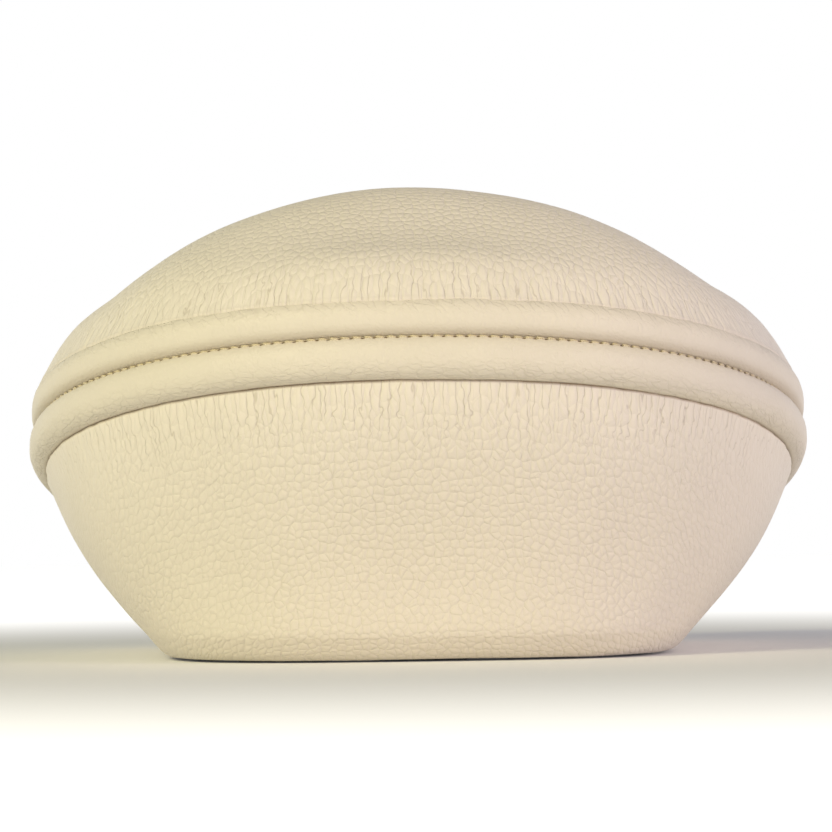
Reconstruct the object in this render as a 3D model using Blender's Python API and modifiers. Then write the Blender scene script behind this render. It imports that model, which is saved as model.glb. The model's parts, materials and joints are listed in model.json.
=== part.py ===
"""Face cradle cushion for a massage table: a leather-covered horseshoe wedge with a double rolled seam.

Metres, +Z up. The origin is the middle of the footprint on the surface that the cushion stands on.
The closed crown end faces -Y, the face opening runs in from +Y, and X is the mirror axis.
"""

from math import cos, pi, radians, sin, tau

import bmesh
import bpy
import numpy as np

# Plan of the seam line, the widest outline of the cushion
SEAM_HALF_WIDTH = 0.1375
SEAM_HALF_LENGTH = 0.130
SEAM_SQUARENESS = 2.2
OPENING_HALF_WIDTH = 0.052
OPENING_ROUND_Y = 0.026
WIDEST_Y = 0.0075
ARM_CLOSING = 0.0080  # how much each arm draws in towards its tip

# Plan of the base, which is smaller, so the side panel tapers down to it
BASE_HALF_WIDTH = 0.101
BASE_FRONT_Y = -0.102
BASE_REAR_Y = 0.112
BASE_OPENING_HALF_WIDTH = 0.056
BASE_SQUARENESS = 3.0

# Stations round half an outline, from the front middle to an arm tip
FRONT_STEPS = 7
ARM_STEPS = 2
TIP_STEPS = 4

# Heights, from the floor up
LOOP_COVER_T = 0.0020
FLANGE_Z = 0.0023
LEATHER_T = 0.0014
BOARD_Z = 0.0040
BOARD_T = 0.0090
FOAM_FLOOR_Z = BOARD_Z + BOARD_T + 0.0004
SEAM_FRONT_Z = 0.111
SEAM_SLOPE = 0.226

# Double rolled seam
UPPER_ROLL = (0.0064, 0.0068)  # radius, and its middle's height above the seam line
LOWER_ROLL = (0.0074, -0.0077)
ROLL_SIDES = 8
ROLL_LEATHER_T = 0.0012
CORD_CLEARANCE = 0.0017  # from the roll's outside to the cord
THREAD_R = 0.0005
THREAD_PROUD = 0.0038
GROOVE = 0.0086
SEAM_GAP = 0.0007
# Section of the groove behind each roll: how far in, and how far above or below the seam line
GROOVE_SECTION = ((GROOVE, SEAM_GAP), (GROOVE, 0.0090), (0.0058, 0.0139))
PANEL_TOP = (0.0008, 0.0159)  # where the side panel meets the lower roll: how far in, and how far below
TAPE_SECTION = ((0.0082, -0.005), (0.0076, -0.005), (0.0076, 0.005), (0.0082, 0.005))

# Crown of the top: rows from the edge to the middle of the band, as a share of the half band
DOME_ROWS = (0.985, 0.93, 0.82, 0.65, 0.40, 0.0)
DOME_EDGE_Z = 0.0125
DOME_RISE = 0.0302
ARM_DROP = 0.28  # share of the rise that the arms lose
ARM_DROP_Y = (-0.020, 0.120)
DOME_POWER = 2.6
DOME_ROUND = 0.552
CROWN_RISE = 0.0284
CROWN_HALF_WIDTH = 0.1078
CROWN_POWER = 1.41
CROWN_FRONT = (-0.100, -0.066)
CROWN_REAR = (-0.030, 0.030)

# Side panel. It tapers one way at the front and another at the sides, and blends between them
WALL_ROWS = (0.25, 0.50, 0.75, 1.0)
TAPER_BLEND = (0.55, 0.97)  # from front to side, as a share of the half width
FRONT_TAPER = (-0.05, 0.90)  # where it starts and ends, as a share of the way down
SIDE_TAPER = (0.355, 0.645)  # straight and curved shares of the taper at the sides
EDGE_TOP_Z = 0.0088
# Section of the lower edge from the flange out to the wall: how far in, and height
EDGE_SECTION = ((0.0198, FLANGE_Z), (0.0140, FLANGE_Z), (0.0100, 0.0004), (0.0046, 0.0036))
FOAM_CLEARANCE = 0.0019
FOAM_GAP = 0.0005

# Base board and base cover
BOARD_EDGE = ((0.0084, BOARD_Z), (0.0030, 0.0086), (0.0024, BOARD_Z + BOARD_T))
LOOP_COVER_INSET = 0.0146

# Staples
STAPLES = 18
STAPLE_INSET = 0.0168
STAPLE_CROWN = 0.010
STAPLE_WIRE = 0.0007
STAPLE_WIDTH = 0.0009
STAPLE_BOTTOM_Z = 0.0012
STAPLE_HEIGHT = 0.0087
STAPLE_CLEARANCE = 0.0003

# Colour, roughness and metallic of each finish
LEATHER = ((0.80, 0.72, 0.56), 0.5, 0)
YELLOW_FOAM = ((0.83, 0.72, 0.42), 0.95, 0)
GREY_FOAM = ((0.36, 0.37, 0.38), 0.95, 0)
WHITE_FOAM = ((0.85, 0.85, 0.82), 0.8, 0)
PLYWOOD = ((0.62, 0.45, 0.26), 0.7, 0)
LOOP_FABRIC = ((0.05, 0.05, 0.055), 0.95, 0)
POLYESTER = ((0.86, 0.80, 0.66), 0.6, 0)
COTTON = ((0.80, 0.78, 0.72), 0.9, 0)
STEEL = ((0.60, 0.60, 0.62), 0.35, 1)

WELD = 0.00001
SHARP_ANGLE = radians(40)
MITRE_LIMIT = 0.5  # keeps a sharp corner from sinking more than twice the depth
SHORTEST = 1e-12  # keeps a vector of no length from dividing by zero


def smooth(value, low, high):
    """0 below low, 1 above high, with a level start and end."""
    share = np.clip((value - low) / (high - low), 0, 1)
    return share * share * (3 - 2 * share)


def horseshoe(half_width, closing, opening, front_y, rear_y, squareness):
    """A closed horseshoe outline, anticlockwise from the front middle, and its band's middle line."""
    tip_r = (half_width - closing - opening) / 2
    tip_x = opening + tip_r
    tip_y = rear_y - tip_r
    outer = []
    inner = []
    for step in range(FRONT_STEPS):
        angle = step / FRONT_STEPS * pi / 2
        across = sin(angle) ** (2 / squareness)
        along = cos(angle) ** (2 / squareness)
        outer.append((half_width * across, WIDEST_Y - (WIDEST_Y - front_y) * along))
        inner.append((opening * sin(angle), OPENING_ROUND_Y - opening * cos(angle)))
    for step in range(ARM_STEPS):
        share = step / ARM_STEPS
        outer.append((half_width - closing * smooth(share, 0, 1), WIDEST_Y + (tip_y - WIDEST_Y) * share))
        inner.append((opening, OPENING_ROUND_Y + (tip_y - OPENING_ROUND_Y) * share))
    for step in range(TIP_STEPS + 1):
        angle = step / TIP_STEPS * pi / 2
        outer.append((tip_x + tip_r * cos(angle), tip_y + tip_r * sin(angle)))
        inner.append((tip_x - tip_r * cos(angle), tip_y + tip_r * sin(angle)))
    right = np.array(outer + inner[-2::-1])
    left = right[-2:0:-1] * (-1, 1)
    loop = np.concatenate([right, left])
    partner = (len(right) - 1 - np.arange(len(loop))) % len(loop)
    spine = (loop + loop[partner]) / 2
    spine[:, 1] = np.minimum(spine[:, 1], tip_y)
    return loop, spine


SEAM, SPINE = horseshoe(
    SEAM_HALF_WIDTH,
    ARM_CLOSING,
    OPENING_HALF_WIDTH,
    -SEAM_HALF_LENGTH,
    SEAM_HALF_LENGTH,
    SEAM_SQUARENESS,
)
BASE, BASE_SPINE = horseshoe(
    BASE_HALF_WIDTH, 0, BASE_OPENING_HALF_WIDTH, BASE_FRONT_Y, BASE_REAR_Y, BASE_SQUARENESS
)


def inset(loop, distance):
    """The loop moved in towards its band's middle by distance."""
    along = np.roll(loop, -1, axis=0) - np.roll(loop, 1, axis=0)
    along /= np.linalg.norm(along, axis=1)[:, None]
    outward = np.column_stack([along[:, 1], -along[:, 0]])
    return loop - outward * distance


def seam_z(y):
    return SEAM_FRONT_Z - SEAM_SLOPE * (y + SEAM_HALF_LENGTH)


def row(loop, z):
    return np.column_stack([loop, np.broadcast_to(z, len(loop))])


def seam_row(distance, height):
    """A row that far in from the seam line and that far above it."""
    return row(inset(SEAM, distance), seam_z(SEAM[:, 1]) + height)


def dome_row(share):
    """A row of the top, at this share of the way out from the band's middle to its edge."""
    loop = SPINE + (SEAM - SPINE) * share
    x, y = loop.T
    rise = DOME_RISE * (1 - ARM_DROP * smooth(y, *ARM_DROP_Y))
    width = np.clip(1 - (x / CROWN_HALF_WIDTH) ** 2, 0, 1) ** CROWN_POWER
    rise = rise + CROWN_RISE * width * smooth(y, *CROWN_FRONT) * (1 - smooth(y, *CROWN_REAR))
    return row(loop, seam_z(y) + DOME_EDGE_Z + rise * (1 - share**DOME_POWER) ** DOME_ROUND)


def cover_rows():
    """Outer face of the top cover, from the seam up to the band's middle."""
    groove = [seam_row(distance, height) for distance, height in GROOVE_SECTION]
    return groove + [dome_row(share) for share in DOME_ROWS]


def wall_rows():
    """Outer face of the side panel, from the foam's floor up to the seam."""
    top_z = seam_z(SEAM[:, 1]) - PANEL_TOP[1]
    side = smooth(np.abs(SEAM[:, 0]) / SEAM_HALF_WIDTH, *TAPER_BLEND)
    front = np.where(SEAM[:, 1] < -OPENING_ROUND_Y, 1 - side, 0)
    rows = []
    for share in reversed(WALL_ROWS):
        z = top_z + (FOAM_FLOOR_Z - top_z) * share
        down = (top_z - z) / (top_z - EDGE_TOP_Z)
        front_taper = smooth(down, *FRONT_TAPER)
        side_taper = SIDE_TAPER[0] * down + SIDE_TAPER[1] * down**2
        taper = front_taper * front + side_taper * (1 - front)
        rows.append(row(SEAM + (BASE - SEAM) * taper[:, None], z))
    rows.append(seam_row(PANEL_TOP[0], -PANEL_TOP[1]))
    return rows + [seam_row(distance, -height) for distance, height in reversed(GROOVE_SECTION)]


def panel_rows():
    """Outer face of the side panel with the flange that turns under the board."""
    edge = [row(inset(BASE, distance), z) for distance, z in EDGE_SECTION]
    return edge + [row(BASE, EDGE_TOP_Z)] + wall_rows()


def unit(vectors):
    return vectors / np.maximum(np.linalg.norm(vectors, axis=-1), SHORTEST)[..., None]


def sunk(rows, depth):
    """The rows moved in by depth from the faces on both sides of each, with mitred corners."""
    grid = np.array(rows)
    along = np.roll(grid, -1, axis=1) - np.roll(grid, 1, axis=1)
    up = np.diff(grid, axis=0)
    below = unit(np.cross(along, np.concatenate([up[:1], up])))
    above = unit(np.cross(along, np.concatenate([up, up[-1:]])))
    outward = unit(below + above)
    mitre = np.maximum((outward * above).sum(axis=2), MITRE_LIMIT)
    return list(grid - outward * (depth / mitre)[..., None])


def material(name, look):
    colour, roughness, metallic = look
    made = bpy.data.materials.new(name)
    made.use_nodes = True
    shader = made.node_tree.nodes["Principled BSDF"]
    shader.inputs["Base Color"].default_value = (*colour, 1)
    shader.inputs["Roughness"].default_value = roughness
    shader.inputs["Metallic"].default_value = metallic
    made.diffuse_color = (*colour, 1)
    return made


def add_object(name, data, collection, finish=None):
    made = bpy.data.objects.new(name, data)
    collection.objects.link(made)
    if finish:
        data.materials.append(finish)
    return made


def loft(name, rows, collection, finish, closed=False):
    """A surface through the rows, which are loops with the same stations, in outward order."""
    count = len(rows[0])
    mesh = bpy.data.meshes.new(name)
    body = bmesh.new()
    verts = [[body.verts.new(point) for point in line] for line in rows]
    pairs = list(zip(verts, verts[1:]))
    if closed:
        pairs.append((verts[-1], verts[0]))
    for low, high in pairs:
        for at in range(count):
            ahead = (at + 1) % count
            body.faces.new((low[at], low[ahead], high[ahead]))
            body.faces.new((low[at], high[ahead], high[at]))
    bmesh.ops.remove_doubles(body, verts=body.verts, dist=WELD)
    body.to_mesh(mesh)
    body.free()
    mesh.shade_smooth()
    mesh.set_sharp_from_angle(angle=SHARP_ANGLE)
    return add_object(name, mesh, collection, finish)


def leather_wall(piece, thickness):
    """Gives an open surface its thickness, inwards."""
    wall = piece.modifiers.new("leather", "SOLIDIFY")
    wall.thickness = thickness
    wall.offset = -1


def cut(piece, cutter):
    boolean = piece.modifiers.new(cutter.name, "BOOLEAN")
    boolean.object = cutter
    boolean.operation = "DIFFERENCE"
    boolean.solver = "EXACT"


def make_top_cover(parts):
    finish = material("top_cover_leather", LEATHER)
    leather_wall(loft("top_cover", cover_rows(), parts, finish), LEATHER_T)


def make_side_panel(parts, holes):
    finish = material("side_panel_leather", LEATHER)
    panel = loft("side_panel", panel_rows(), parts, finish)
    leather_wall(panel, LEATHER_T)
    cut(panel, holes)


def make_comfort_foam(parts):
    finish = material("comfort_foam", YELLOW_FOAM)
    rows = sunk(cover_rows(), FOAM_CLEARANCE)
    rows[-1] = cover_rows()[-1] - (0, 0, FOAM_CLEARANCE)
    floor = row(SPINE, seam_z(SPINE[:, 1]) + FOAM_GAP)
    loft("comfort_foam", [floor] + rows, parts, finish)


def make_support_foam(parts):
    finish = material("support_foam", GREY_FOAM)
    rows = sunk(wall_rows(), FOAM_CLEARANCE)
    down = rows[0] - rows[1]
    rows[0] += down * ((FOAM_FLOOR_Z - rows[0][:, 2]) / down[:, 2])[:, None]
    floor = row(SPINE, FOAM_FLOOR_Z)
    roof = row(SPINE, seam_z(SPINE[:, 1]) - FOAM_GAP)
    loft("support_foam", [floor] + rows + [roof], parts, finish)


def make_base_board(parts, holes):
    finish = material("base_board_plywood", PLYWOOD)
    edge = [row(inset(BASE, distance), z) for distance, z in BOARD_EDGE]
    rows = [row(BASE_SPINE, BOARD_Z)] + edge + [row(BASE_SPINE, BOARD_Z + BOARD_T)]
    cut(loft("base_board", rows, parts, finish), holes)


def make_loop_base_cover(parts, slots):
    finish = material("loop_base_cover_fabric", LOOP_FABRIC)
    edge = inset(BASE, LOOP_COVER_INSET)
    rows = [row(BASE_SPINE, 0), row(edge, 0), row(edge, LOOP_COVER_T), row(BASE_SPINE, LOOP_COVER_T)]
    cut(loft("loop_base_cover", rows, parts, finish), slots)


def make_roll(name, roll, parts):
    """A leather wrap, open along the inside where it goes into the seam, round a foam cord."""
    radius, centre = roll
    cord_r = radius - CORD_CLEARANCE
    angles = [tau * (ROLL_SIDES - step) / ROLL_SIDES for step in range(ROLL_SIDES)]
    finish = material(name + "_leather", LEATHER)
    wrap = [seam_row(radius * cos(turn), centre + radius * sin(turn)) for turn in angles[1:]]
    leather_wall(loft(name, wrap, parts, finish), ROLL_LEATHER_T)
    finish = material(name + "_cord_foam", WHITE_FOAM)
    cord = [seam_row(cord_r * cos(turn), centre + cord_r * sin(turn)) for turn in angles]
    loft(name + "_cord", cord, parts, finish, closed=True)


def make_seam_thread(parts):
    finish = material("seam_thread_polyester", POLYESTER)
    turns = [-quarter * pi / 2 for quarter in range(4)]
    rows = [seam_row(-THREAD_PROUD + THREAD_R * cos(turn), THREAD_R * sin(turn)) for turn in turns]
    loft("seam_thread", rows, parts, finish, closed=True)


def make_seam_tape(parts):
    finish = material("seam_tape_cotton", COTTON)
    rows = [seam_row(distance, height) for distance, height in TAPE_SECTION]
    loft("seam_tape", rows, parts, finish, closed=True)


def staple_places():
    """(point, heading) of each staple, evenly spaced round the flange from the front middle."""
    path = inset(BASE, STAPLE_INSET)
    path = np.concatenate([path, path[:1]])
    reach = np.concatenate([[0], np.cumsum(np.linalg.norm(np.diff(path, axis=0), axis=1))])
    places = []
    for number in range(STAPLES):
        at = reach[-1] * (number + 0.5) / STAPLES
        x = np.interp(at, reach, path[:, 0])
        y = np.interp(at, reach, path[:, 1])
        edge = np.searchsorted(reach, at) - 1
        along = path[edge + 1] - path[edge]
        places.append((x, y, np.arctan2(along[1], along[0])))
    return places


def make_staple(name, place, parts, finish):
    """A flat-wire staple: its crown in the base cover's slot, its legs up in the board."""
    half = STAPLE_CROWN / 2
    inner = half - STAPLE_WIRE
    outline = [(-half, 0), (half, 0), (half, STAPLE_HEIGHT), (inner, STAPLE_HEIGHT)]
    outline += [(inner, STAPLE_WIRE), (-inner, STAPLE_WIRE), (-inner, STAPLE_HEIGHT)]
    outline += [(-half, STAPLE_HEIGHT)]
    data = bpy.data.curves.new(name, "CURVE")
    data.dimensions = "2D"
    data.fill_mode = "BOTH"
    data.extrude = STAPLE_WIDTH / 2
    line = data.splines.new("POLY")
    line.points.add(len(outline) - 1)
    for point, (x, y) in zip(line.points, outline):
        point.co = (x, y, 0, 1)
    line.use_cyclic_u = True
    staple = add_object(name, data, parts, finish)
    staple.location = (place[0], place[1], STAPLE_BOTTOM_Z)
    staple.rotation_euler = (pi / 2, 0, place[2])


def boxes(name, size, middles, cutters):
    """One cutter of boxes, each (x, y, z, heading) in middles."""
    mesh = bpy.data.meshes.new(name)
    body = bmesh.new()
    for x, y, z, heading in middles:
        made = bmesh.ops.create_cube(body, size=1)["verts"]
        bmesh.ops.scale(body, verts=made, vec=size)
        turn = np.array([[cos(heading), -sin(heading), 0], [sin(heading), cos(heading), 0], [0, 0, 1]])
        for vert in made:
            vert.co = turn @ np.array(vert.co) + (x, y, z)
    body.to_mesh(mesh)
    body.free()
    cutter = add_object(name, mesh, cutters)
    cutter.hide_render = True
    cutter.display_type = "WIRE"
    return cutter


def make_cutters(cutters):
    """Slots for the staples' crowns in the base cover, and holes for their legs in flange and board."""
    room = 2 * STAPLE_CLEARANCE
    slots = [(x, y, LOOP_COVER_T / 2, heading) for x, y, heading in staple_places()]
    slot_size = (STAPLE_CROWN + room, STAPLE_WIDTH + room, 3 * LOOP_COVER_T)
    reach = (STAPLE_CROWN - STAPLE_WIRE) / 2
    top = STAPLE_BOTTOM_Z + STAPLE_HEIGHT + STAPLE_CLEARANCE
    legs = []
    for x, y, heading in staple_places():
        for side in (-reach, reach):
            legs.append((x + side * cos(heading), y + side * sin(heading), top / 2, heading))
    leg_size = (STAPLE_WIRE + room, STAPLE_WIDTH + room, top)
    return boxes("crown_slots", slot_size, slots, cutters), boxes("leg_holes", leg_size, legs, cutters)


def main():
    for old in list(bpy.data.objects):
        bpy.data.objects.remove(old, do_unlink=True)
    parts = bpy.data.collections.new("face_cradle_cushion")
    cutters = bpy.data.collections.new("cutters")
    bpy.context.scene.collection.children.link(parts)
    bpy.context.scene.collection.children.link(cutters)
    slots, holes = make_cutters(cutters)
    make_top_cover(parts)
    make_side_panel(parts, holes)
    make_roll("upper_roll", UPPER_ROLL, parts)
    make_roll("lower_roll", LOWER_ROLL, parts)
    make_seam_thread(parts)
    make_seam_tape(parts)
    make_comfort_foam(parts)
    make_support_foam(parts)
    make_base_board(parts, holes)
    make_loop_base_cover(parts, slots)
    steel = material("staple_steel", STEEL)
    for number, place in enumerate(staple_places(), 1):
        make_staple(f"staple_{number:02d}", place, parts, steel)


main()
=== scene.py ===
"""Looks of the face cradle cushion: pebbled cream leather over foam, with a double rolled seam.

Metres, +Z up. The closed crown end faces -Y and the face opening runs in from +Y. The outlines are the
same on both sides of X = 0, and only the crown of the top sits a little to one side.
"""

import json
from math import acos, cos, pi, radians, sin, tau

import bpy
import numpy as np
from mathutils import Matrix, Vector, noise


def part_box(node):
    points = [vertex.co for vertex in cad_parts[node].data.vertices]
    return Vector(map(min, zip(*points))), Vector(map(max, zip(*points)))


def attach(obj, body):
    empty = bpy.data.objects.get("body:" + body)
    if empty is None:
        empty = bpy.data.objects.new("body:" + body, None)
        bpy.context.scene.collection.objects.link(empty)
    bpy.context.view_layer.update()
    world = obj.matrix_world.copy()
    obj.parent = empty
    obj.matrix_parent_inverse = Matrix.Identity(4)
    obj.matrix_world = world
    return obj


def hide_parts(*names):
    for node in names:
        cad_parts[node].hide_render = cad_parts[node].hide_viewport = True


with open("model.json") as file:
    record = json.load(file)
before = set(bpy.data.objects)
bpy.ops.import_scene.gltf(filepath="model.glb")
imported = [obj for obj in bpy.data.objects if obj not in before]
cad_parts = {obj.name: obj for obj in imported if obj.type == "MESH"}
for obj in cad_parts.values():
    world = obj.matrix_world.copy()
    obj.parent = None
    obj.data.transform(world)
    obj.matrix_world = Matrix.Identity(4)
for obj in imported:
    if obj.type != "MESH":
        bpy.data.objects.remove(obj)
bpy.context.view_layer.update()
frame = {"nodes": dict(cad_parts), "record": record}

LOWER_LOW, LOWER_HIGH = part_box("lower_roll")
BOARD_LOW, BOARD_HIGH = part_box("base_board")
PILE_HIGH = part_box("loop_base_cover")[1]
TAPE_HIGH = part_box("seam_tape")[1]
OPENING_LOW, OPENING_HIGH = frame["record"]["physics"]["openings"][0]["box_m"]
STAPLE_COUNT = 18
STAPLES = [f"staple_{number:02d}" for number in range(1, STAPLE_COUNT + 1)]

# The CAD's lower roll is round: its radius, and how far its middle hangs below the seam line
CAD_ROLL_R = 0.0074
CAD_ROLL_DROP = 0.0077

# Plan of the seam line, the widest outline of the cushion
SEAM_HALF_WIDTH = LOWER_HIGH.x - CAD_ROLL_R
SEAM_HALF_LENGTH = LOWER_HIGH.y - CAD_ROLL_R
SEAM_SQUARENESS = 2.2
ROLL_ROOM = 0.008  # from the clear opening to the seam line, which the roll's inner half takes up
OPENING_HALF_WIDTH = OPENING_HIGH[0] + ROLL_ROOM
OPENING_ROUND_Y = OPENING_LOW[1]
WIDEST_Y = 0.0075
ARM_CLOSING = 0.0080  # how much each arm draws in towards its tip
SEAM_FRONT_Z = LOWER_HIGH.z + CAD_ROLL_DROP - CAD_ROLL_R
SEAM_SLOPE = (LOWER_HIGH.z - LOWER_LOW.z - 2 * CAD_ROLL_R) / (2 * SEAM_HALF_LENGTH)

# Plan of the base: the leather wraps the board this closely
BOARD_INSET = 0.0024
OPENING_TAPER = 0.004  # how far the wall round the opening slopes back by the base
BASE_OPENING_HALF_WIDTH = OPENING_HALF_WIDTH + OPENING_TAPER
BASE_SQUARENESS = 3.0

# Stations round half an outline
FRONT_STEPS = 120
ARM_STEPS = 44
TIP_STEPS = 34

# Crown of the top: rows from its edge to the middle of the band
DOME_STEPS = 46
DOME_CROWDING = 2.3  # how much closer together the rows are at the edge
DOME_EDGE_Z = 0.0125
DOME_RISE = 0.0302
ARM_DROP = 0.28  # the share by which the dome is lower at the tips of the arms
ARM_DROP_Y = (-0.020, 0.120)
DOME_POWER = 2.6  # how flat the dome is in its middle
DOME_ROUND = 0.552  # how steeply it leaves its edge: less is steeper
# A further crown over the closed end, which fades out sideways, at the front and towards the opening
CROWN_RISE = 0.0290
CROWN_MIDDLE = -0.0014  # the crown sits a little to one side
CROWN_HALF_WIDTH = 0.1078
CROWN_POWER = 1.33
CROWN_FRONT = (-0.118, -0.061)
CROWN_REAR = (-0.030, 0.030)
PUFF = 0.0040  # how far the edge swells out over the upper roll
PUFF_HEIGHT = 0.0070
PUFF_FULL = 0.5  # the share of the way out at which the swell has its full size
# Where the cover tucks in behind the upper roll: how far out, and how far above the seam line
COVER_TUCK = ((-0.0030, 0.0090), (-0.0010, 0.0092), (0.0012, 0.0096), (0.0029, 0.0102), (0.0040, 0.0113))

# Side panel
WALL_STEPS = 42
WALL_CROWDING = 1.5  # how much closer together the rows are by the seam
TAPER_BLEND = (0.55, 0.97)  # shares of the half width over which the front's taper becomes the side's
FRONT_TAPER = (-0.05, 0.90)  # shares of the way down between which the front slopes in
SIDE_TAPER = (0.355, 0.645)  # how much of the side's slope is even, and how much grows on the way down
PANEL_TOP_Z = -0.0162
PANEL_TUCK = ((-0.0040, -0.0125), (-0.0016, -0.0133), (0.0001, -0.0142), (0.0010, -0.0151))
PANEL_PUFF = 0.0014  # how far the panel swells out just under the lower roll
PANEL_PUFF_POWER = 8
EDGE_TOP_Z = 0.0088
EDGE_BOTTOM_Z = 0.0004
FLANGE_Z = 0.0023
# Lower edge, in from the flange: how far in from the wall, and height
FLANGE = ((0.0198, FLANGE_Z), (0.0165, FLANGE_Z), (0.0142, FLANGE_Z), (0.0124, 0.0014))
EDGE_CURVE = ((0.0108, EDGE_BOTTOM_Z), (0.0060, EDGE_BOTTOM_Z), (0.0032, 0.0052), (0, EDGE_TOP_Z))
EDGE_ROWS = 12
LEATHER_T = 0.0014

# Rolls, in section: half width, height of the middle over the seam line, and then for the part above
# the middle and the part below it how high it is and how square. The two are sewn together flat, so
# that each is square where they meet.
UPPER_ROLL = (0.0064, 0.0066, (0.0066, 2.0), (0.0073, 3.0))
LOWER_ROLL = (0.0074, -0.0076, (0.0076, 2.7), (0.0076, 2.0))
ROLL_STATIONS = 1360
ROLL_SIDES = 30
CORD_SHRINK = 0.0017
CORD_STATIONS = 420
# Painted shade on each roll, under it and where it meets its neighbours, and over the upper roll's top: how
# dark, then where round the roll and how wide, in radians
UPPER_PAINTED_SHADE = ((0.07, 1.5 * pi, 0.34), (0.24, 0.76 * pi, 0.36))
LOWER_PAINTED_SHADE = ((0.10, 1.42 * pi, 0.14), (0.45, 0.53 * pi, 0.09))
# The fine folds of each roll: their place round it as a share, then their lean and their size along and
# across
UPPER_FOLDS = (0.66, (radians(-42), 0.0075, 0.0030))
LOWER_FOLDS = (0.33, (radians(-8), 0.0050, 0.0022))

STITCH_PITCH = 0.0038
STITCH_LENGTH = 0.0031
STITCH_THICKNESS = 0.0009
STITCH_OUT = 0.0043  # how far out from the seam line the thread lies on the lower roll
STITCH_SUNK = 0.0001  # how far in from there its middle is
STITCH_LIFT = 0.00005
STITCH_LEAN = radians(7)
STITCH_BITE = 0.00030  # how deep the thread draws the roll in at each needle hole
BITE_WIDTH = 0.10  # in radians round the roll
NEEDLE_HOLE = 0.0008  # its radius, with the leather drawn in round it and painted shade in it

# Leather
PEBBLE = 0.0028
PLEAT_PITCH = 0.0030
PLEAT_REACH = 0.020  # how far from a seam the pebbles are drawn out into pleats
PLEAT_DRAW = 0.80  # the share of the hide that is taken up just beside a seam, which draws it out
CREASE_REACH = 0.0006  # how far from the roll the painted shade beside it reaches
TIGHT_SIDES = (0.68, 0.98)  # shares of the half width over which the hide is pulled tight
TIGHTNESS = 0.60
HIDE_TONES = ("#e9dfcb", "#efe5d3")
# The rolls' tones are the hide's tones made a little darker, a painted shade
ROLL_SHADED_TONES = ("#dfd5c0", "#e7ddc9")
# The dark of the grain's splits, also used as painted shade in folds and needle holes
PIGMENT_AND_SHADE = "#7d6440"
PEBBLE_RELIEF = 0.00029
ROLL_RELIEF = 0.00026

# Unevenness of the surfaces. Each layer is its height and its size, in metres, and its seed.
LEATHER_LIE = ((0.00040, 0.052, 3.1), (0.00016, 0.019, 8.3))
ROLL_LIE = ((0.00022, 0.030, 2.2), (0.00010, 0.009, 6.1))
PILE_NAP = ((0.00012, 0.0030, 1.3),)
# Small pleats beside a seam: they are drawn out away from it, and fade over these distances
PLEATS = ((0.00045, 0.0052, 5.7),)
PLEAT_SLIP = 0.16  # the less it is, the longer they are
PLEAT_FADE = 0.010
PLEAT_END = (0.018, 0.034)

# Inside: the tape behind the seam, the foams under the leather, and the pile glued under the base
TAPE_THICKNESS = 0.0006
TAPE_HALF_HEIGHT = 0.005
FOAM_SUNK = 0.0020  # from the leather's outer face to the foam
FOAM_INSET = 0.0105  # how far inside the seam line the foams' edges are
COMFORT_EDGE = (0.0006, 0.0085)  # heights over the seam line
SUPPORT_EDGE = (-0.0090, -0.0006)
FOAM_PARTING = 0.0005  # each foam stays this clear of the surface between them
BOARD_GAP = 0.0004
PILE_ROWS = 34
PILE_DENT = 0.0016  # how far the pile is drawn up under each staple
PILE_DENT_REACH = (0.0035, 0.0080)  # how far from a staple the dent has its full depth, and ends
PILE_LEAST = 0.0003  # its least thickness
PILE_EDGE_ROUND = 0.0003

# Studio
FLOOR_SIZE = 14
FLOOR_GAP = 0.0003  # keeps the floor just clear of the pile that stands on it
SOFTBOX_AIM = (0, 0, 0.08)
CAMERA_PLACE = (0.0068, -1.300, 0.0414)
CAMERA_AIM = (-0.0007, 0, 0.0883)
CAMERA_ROLL = radians(-0.82)
CAMERA_LENS = 150.4
SENSOR_WIDTH = 36

WELD = 0.00002  # points closer than this become one


def smooth(value, low, high):
    """0 below low, 1 above high, with a level start and end."""
    share = np.clip((value - low) / (high - low), 0, 1)
    return share * share * (3 - 2 * share)


def bell(value, middle, width):
    """1 at the middle, and less on both sides of it."""
    return np.exp(-(((value - middle) / width) ** 2))


def unit(vectors):
    return vectors / np.maximum(np.linalg.norm(vectors, axis=-1), 1e-12)[..., None]


def horseshoe(half_width, closing, opening, front_y, rear_y, squareness):
    """A closed horseshoe outline, anticlockwise from the opening's round end, and its band's middle line."""
    tip_r = (half_width - closing - opening) / 2
    tip_x = opening + tip_r
    tip_y = rear_y - tip_r
    turn = np.linspace(0, pi / 2, FRONT_STEPS, endpoint=False)
    across = np.sin(turn) ** (2 / squareness)
    along = np.cos(turn) ** (2 / squareness)
    outer = [np.column_stack([half_width * across, WIDEST_Y - (WIDEST_Y - front_y) * along])]
    inner = [np.column_stack([opening * np.sin(turn), OPENING_ROUND_Y - opening * np.cos(turn)])]
    share = np.linspace(0, 1, ARM_STEPS, endpoint=False)
    outer_x = half_width - closing * smooth(share, 0, 1)
    outer.append(np.column_stack([outer_x, WIDEST_Y + (tip_y - WIDEST_Y) * share]))
    inner_x = np.full(ARM_STEPS, opening)
    inner.append(np.column_stack([inner_x, OPENING_ROUND_Y + (tip_y - OPENING_ROUND_Y) * share]))
    turn = np.linspace(0, pi / 2, TIP_STEPS + 1)
    for side, rows in ((1, outer), (-1, inner)):
        rows.append(np.column_stack([tip_x + side * tip_r * np.cos(turn), tip_y + tip_r * np.sin(turn)]))
    right = np.concatenate([np.concatenate(outer), np.concatenate(inner)[-2::-1]])
    loop = np.concatenate([right, right[-2:0:-1] * (-1, 1)])
    partner = (len(right) - 1 - np.arange(len(loop))) % len(loop)
    spine = (loop + loop[partner]) / 2
    spine[:, 1] = np.minimum(spine[:, 1], tip_y)
    return np.roll(loop, 1 - len(right), axis=0), np.roll(spine, 1 - len(right), axis=0)


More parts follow.
